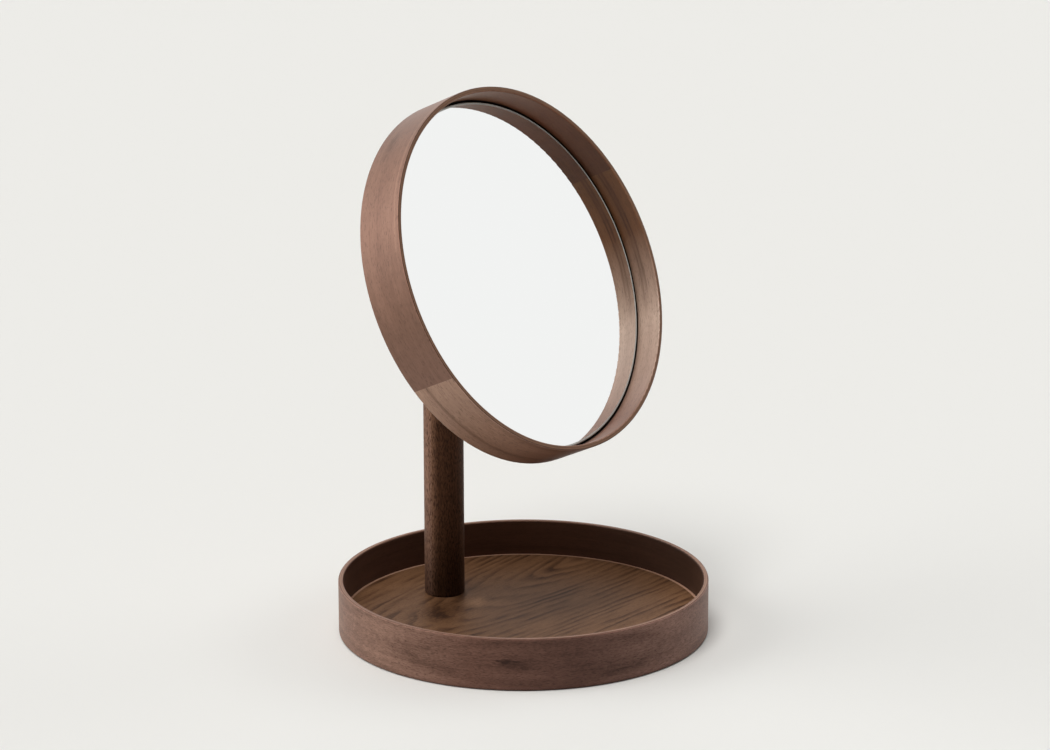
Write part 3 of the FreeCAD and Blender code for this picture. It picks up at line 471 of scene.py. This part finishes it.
def turnedMetal(name, centre, turn, look):
    # turned and plated metal: fine rings round the axis and slightly uneven brightness
    material, tree, shader = newMaterial(name, look["roughness"], Metallic=1.0)
    place = placeOn(tree, centre, turn)
    marks = addNode(tree, "VectorMath", (place, turning["stretch"]), operation="MULTIPLY")
    marks = addNode(tree, "TexNoise", {"Vector": marks, "Scale": 1 / look["toolMark"], "Detail": 1.0})
    film = addNode(tree, "TexNoise", {"Vector": place, "Scale": 1 / look["film"], "Detail": 3.0})
    tones = {0: film, 6: hexColour(look["dark"]), 7: hexColour(look["light"])}
    tree.links.new(addNode(tree, "Mix", tones, **blend), shader.inputs["Base Color"])
    smooth, dull = [look["roughness"] + change for change in turning["uneven"]]
    roughness = addNode(tree, "MapRange", (film, *turning["filmRange"], smooth, dull))
    tree.links.new(roughness, shader.inputs["Roughness"])
    bump = {"Strength": turning["relief"], "Distance": turning["reliefDepth"], "Height": marks}
    tree.links.new(addNode(tree, "Bump", bump), shader.inputs["Normal"])
    return material


# Tool marks are really about 0.1 mm apart and are drawn coarser so that they show; film is the size of
# the cloudy patches. Satin nickel plate gives a warm grey with a broad soft highlight, bright zinc plate
# a cooler and cloudier grey, and turned brass a soft yellow with the sharpest highlight of the three.
nickelPlate = {"light": "CFC9BE", "dark": "C3BDB2", "roughness": 0.3, "toolMark": 0.35 * mm, "film": 9 * mm}
zincPlate = {"light": "C3C7CB", "dark": "A6ABB0", "roughness": 0.32, "toolMark": 0.4 * mm, "film": 3 * mm}
turnedBrass = {"light": "CBA762", "dark": "AF8B4C", "roughness": 0.24, "toolMark": 0.35 * mm, "film": 5 * mm}
giveMaterial(turnedMetal("satin_nickel_plated_steel", ball, mirrorTurn, nickelPlate),
             "socket_cup", "cap_ring")
giveMaterial(turnedMetal("nickel_plated_steel_upright", ball, upright, nickelPlate),
             "ball_stud", "stud_washer")
giveMaterial(turnedMetal("zinc_plated_steel_head", ball, mirrorTurn, zincPlate),
             "socket_screws", "ring_lock_screw")
giveMaterial(turnedMetal("zinc_plated_steel_foot", postAxis, upright, zincPlate),
             "post_bolt", "post_washer")
giveMaterial(turnedMetal("turned_brass", postAxis, upright, turnedBrass),
             "post_foot_insert", "stud_insert")


def mottled(name, look):
    # a plain moulded or cut surface: two close tones, and a fine texture a quarter as deep as it is wide
    material, tree, shader = newMaterial(name, look["roughness"], Specular_IOR_Level=look["sheen"])
    place = placeOn(tree)
    patch = addNode(tree, "TexNoise", {"Vector": place, "Scale": 1 / look["patch"], "Detail": 3.0})
    texture = addNode(tree, "TexNoise", {"Vector": place, "Scale": 1 / look["texture"], "Detail": 2.0})
    tones = {0: patch, 6: hexColour(look["dark"]), 7: hexColour(look["light"])}
    tree.links.new(addNode(tree, "Mix", tones, **blend), shader.inputs["Base Color"])
    bump = {"Strength": look["relief"], "Distance": look["texture"] / 4, "Height": texture}
    tree.links.new(addNode(tree, "Bump", bump), shader.inputs["Normal"])
    return material


# beech turned and left raw: pale pinkish brown, dull
beechDowel = {"light": "DDBB92", "dark": "C79F74", "patch": 1.5 * mm, "texture": 0.5 * mm,
              "roughness": 0.6, "sheen": 0.3, "relief": 0.4}
# rubber moulded in a fine spark-eroded tool: near black and dull
mouldedRubber = {"light": "262626", "dark": "181818", "patch": 3 * mm, "texture": 0.4 * mm,
                 "roughness": 0.72, "sheen": 0.3, "relief": 0.3}
# natural nylon, moulded: off-white and waxy
mouldedNylon = {"light": "E6E2D6", "dark": "D9D4C6", "patch": 4 * mm, "texture": 0.5 * mm,
                "roughness": 0.38, "sheen": 0.45, "relief": 0.15}
# foam tape cut from the roll: white and matt, with fine cells
foamTape = {"light": "EDEDE9", "dark": "CFCFC9", "patch": 0.6 * mm, "texture": 0.3 * mm,
            "roughness": 0.85, "sheen": 0.2, "relief": 0.5}
giveMaterial(mottled("turned_beech", beechDowel), "post_dowels")
giveMaterial(mottled("moulded_rubber", mouldedRubber), "rubber_feet")
giveMaterial(mottled("moulded_nylon", mouldedNylon), "ball_seat")
giveMaterial(mottled("white_foam_tape", foamTape), "mounting_tape")
print("glass and fittings finished")


def direction(azimuth, elevation):
    # unit vector towards a place, azimuth counted from +X, both in degrees
    around, above = math.radians(azimuth), math.radians(elevation)
    return Vector((math.cos(around) * math.cos(above), math.sin(around) * math.cos(above), math.sin(above)))


# the studio: a pale matt table in an off-white room, lit by six broad soft suns
studio = {
    "table": "E8E7E3", "tableSize": 40, "tableRoughness": 0.9,
    "backdrop": "ECEBE7",  # as the camera sees it
    "reflected": "FAFAFA",  # as gloss and glass see it
    "dim": 0.03,  # how little of it lights the object
    "lights": [
        # name, the azimuth and height it comes from, strength, width, all angles in degrees
        ("windowLeft", 126, 14, 1.0, 60),
        ("curtainLeft", 132, 16, 1.35, 70),
        ("windowRight", -30, 14, 0.6, 45),
        ("wallBehind", 45, 38, 0.26, 45),
        ("ceilingLeft", 190, 66, 1.25, 30),
        ("ceiling", 0, 89, 1.08, 45),
    ],
    "noHighlight": ("windowRight", "curtainLeft"),  # too soft to leave one
}

bpy.ops.object.select_all(action="DESELECT")
bpy.ops.mesh.primitive_plane_add(size=studio["tableSize"], location=(0, 0, 0))
table = bpy.context.object
table.name = "table"
# painted board: it takes the shadow and shows no highlight
tableMaterial, tree, shader = newMaterial("pale_table", studio["tableRoughness"], Specular_IOR_Level=0.0)
shader.inputs["Base Color"].default_value = hexColour(studio["table"])
table.data.materials.append(tableMaterial)

for name, azimuth, elevation, strength, width in studio["lights"]:
    lamp = bpy.data.lights.new(name, "SUN")
    lamp.energy = strength
    lamp.angle = math.radians(width)
    lampObject = bpy.data.objects.new(name, lamp)
    bpy.context.scene.collection.objects.link(lampObject)
    lampObject.visible_glossy = name not in studio["noHighlight"]
    lampObject.rotation_euler = direction(azimuth, elevation).to_track_quat("Z", "Y").to_euler()

world = bpy.data.worlds.new("studio")
bpy.context.scene.world = world
world.use_nodes = True
tree = world.node_tree
tree.nodes.clear()
rays = addNode(tree, "LightPath").node
lighting = addNode(tree, "Background", {0: hexColour(studio["backdrop"]), 1: studio["dim"]})
mirrored = addNode(tree, "Background", {0: hexColour(studio["reflected"]), 1: 1.0})
seen = addNode(tree, "Background", {0: hexColour(studio["backdrop"]), 1: 1.0})
clear = addNode(tree, "Math", (rays.outputs["Is Glossy Ray"], rays.outputs["Is Transmission Ray"]),
                operation="MAXIMUM")
shown = addNode(tree, "MixShader", (clear, lighting, mirrored))
shown = addNode(tree, "MixShader", (rays.outputs["Is Camera Ray"], shown, seen))
output = tree.nodes.new("ShaderNodeOutputWorld")
tree.links.new(shown, output.inputs["Surface"])

# the camera stands to the left of the mirror and a little above it, with a long lens
view = {"azimuth": -142.27, "elevation": 19.574, "distance": 3.8824, "aim": (0, 0, 0.5 * mm),
        "pan": -0.0296, "tilt": 3.3216, "roll": -0.175, "lens": 148.53, "clip": (0.1, 100)}
back = direction(view["azimuth"], view["elevation"])
camera = bpy.data.cameras.new("camera")
camera.lens = view["lens"]
camera.clip_start, camera.clip_end = view["clip"]
cameraObject = bpy.data.objects.new("camera", camera)
bpy.context.scene.collection.objects.link(cameraObject)
bpy.context.scene.camera = cameraObject
cameraObject.location = Vector(view["aim"]) + back * view["distance"]
aimed = (-back).to_track_quat("-Z", "Y").to_matrix()
pan = Matrix.Rotation(math.radians(view["pan"]), 3, "Y")
tilt = Matrix.Rotation(math.radians(view["tilt"]), 3, "X")
roll = Matrix.Rotation(math.radians(view["roll"]), 3, "Z")
cameraObject.rotation_euler = (aimed @ pan @ tilt @ roll).to_euler()
bpy.context.scene.view_settings.view_transform = "Standard"
print("studio and camera ready")
